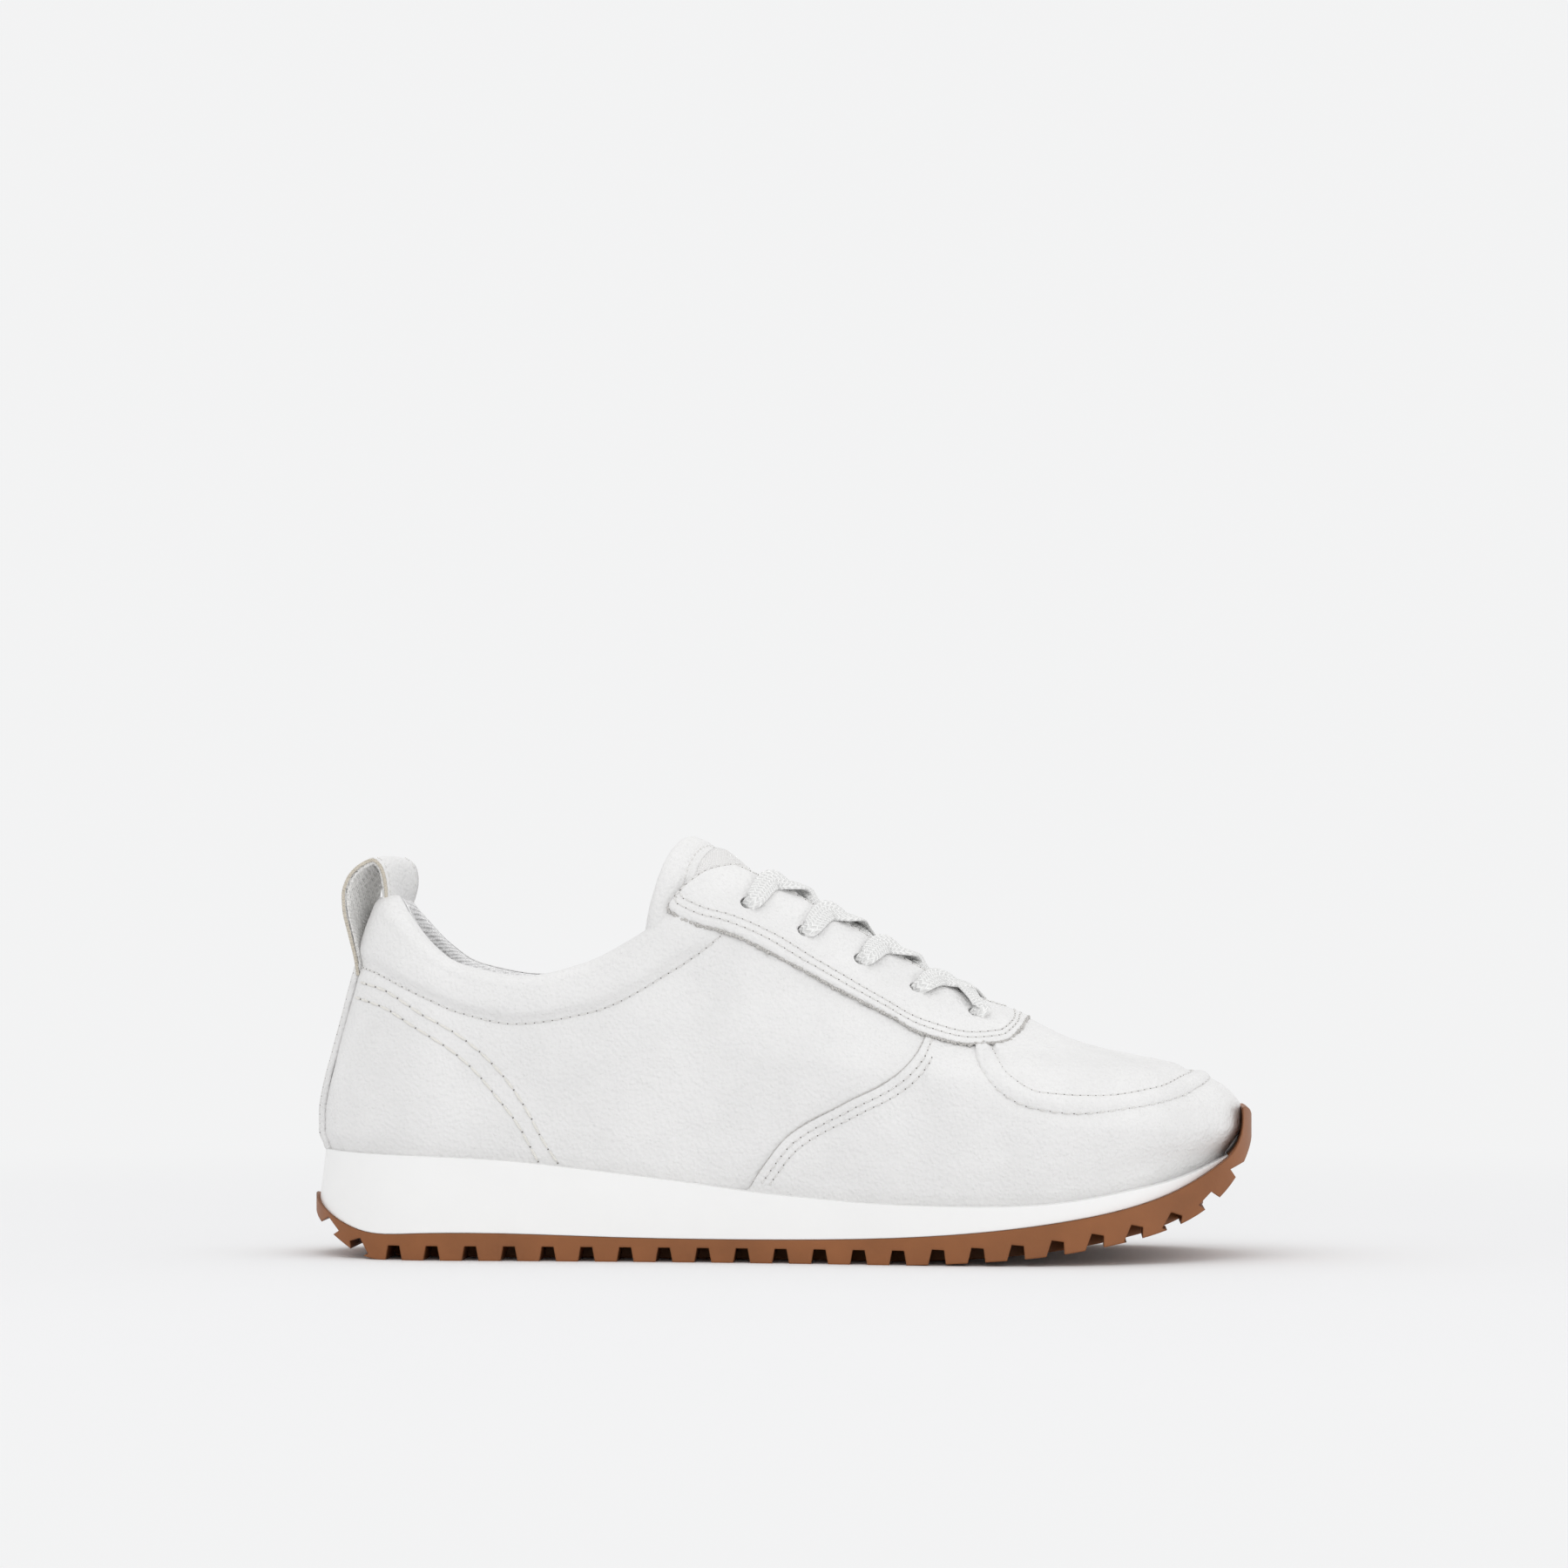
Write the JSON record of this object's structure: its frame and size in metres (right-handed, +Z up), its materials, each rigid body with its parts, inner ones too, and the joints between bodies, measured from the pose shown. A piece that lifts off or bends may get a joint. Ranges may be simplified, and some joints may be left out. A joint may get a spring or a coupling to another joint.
{
  "type": "court shoe",
  "caption": "Low leather court shoe for the right foot: lugged rubber sole, foam wedge, padded collar and tongue, heel pull loop and tucked flat laces.",
  "frame": {"origin": "on the ground under the middle of the shoe's bounding box", "axes": "+X towards the toe, +Y towards the inner side of the foot, +Z up"},
  "size_m": [0.2894, 0.1032, 0.1232],
  "materials": {
    "outsole_rubber": "matt gum rubber",
    "midsole_foam": "smooth moulded foam",
    "board": "pressed fibre board",
    "footbed_fabric": "flat knit over foam",
    "stiffener": "moulded sheet",
    "white_leather": "full grain, soft sheen",
    "backing_fabric": "plain weave",
    "foam": "open cell foam",
    "lining_knit": "spacer knit",
    "label_weave": "fine woven tape",
    "webbing": "woven tape",
    "lace_cotton": "flat herringbone weave",
    "aglet_plastic": "clear film over lace"
  },
  "bodies": {
    "shoe": {"outsole": "outsole_rubber", "midsole": "midsole_foam", "lasting_board": "board", "footbed": "footbed_fabric", "heel_counter": "stiffener", "toe_puff": "stiffener", "quarter_lateral": "white_leather", "quarter_medial": "white_leather", "vamp": "white_leather", "apron": "white_leather", "eyestay": "white_leather", "eyestay_reinforcement": "backing_fabric", "collar_foam": "foam", "collar_lining": "lining_knit", "quarter_lining": "lining_knit", "vamp_lining": "lining_knit", "heel_strap": "white_leather", "heel_strap_webbing": "webbing", "lace": "lace_cotton", "lace_end_lateral": "lace_cotton", "lace_end_medial": "lace_cotton", "aglet_lateral": "aglet_plastic", "aglet_medial": "aglet_plastic"},
    "tongue": {"tongue_leather": "white_leather", "tongue_foam": "foam", "tongue_lining": "lining_knit", "tongue_label": "label_weave"}
  },
  "joints": [
    {"name": "tongue_tilt", "type": "hinge", "parent": "shoe", "child": "tongue", "pos_m": [0.066, 0, 0.066], "axis": [0, 1, 0], "range_deg": [-12, 0], "stiffness_Nm_per_rad": 0.5, "springref_deg": 5.73}
  ]
}
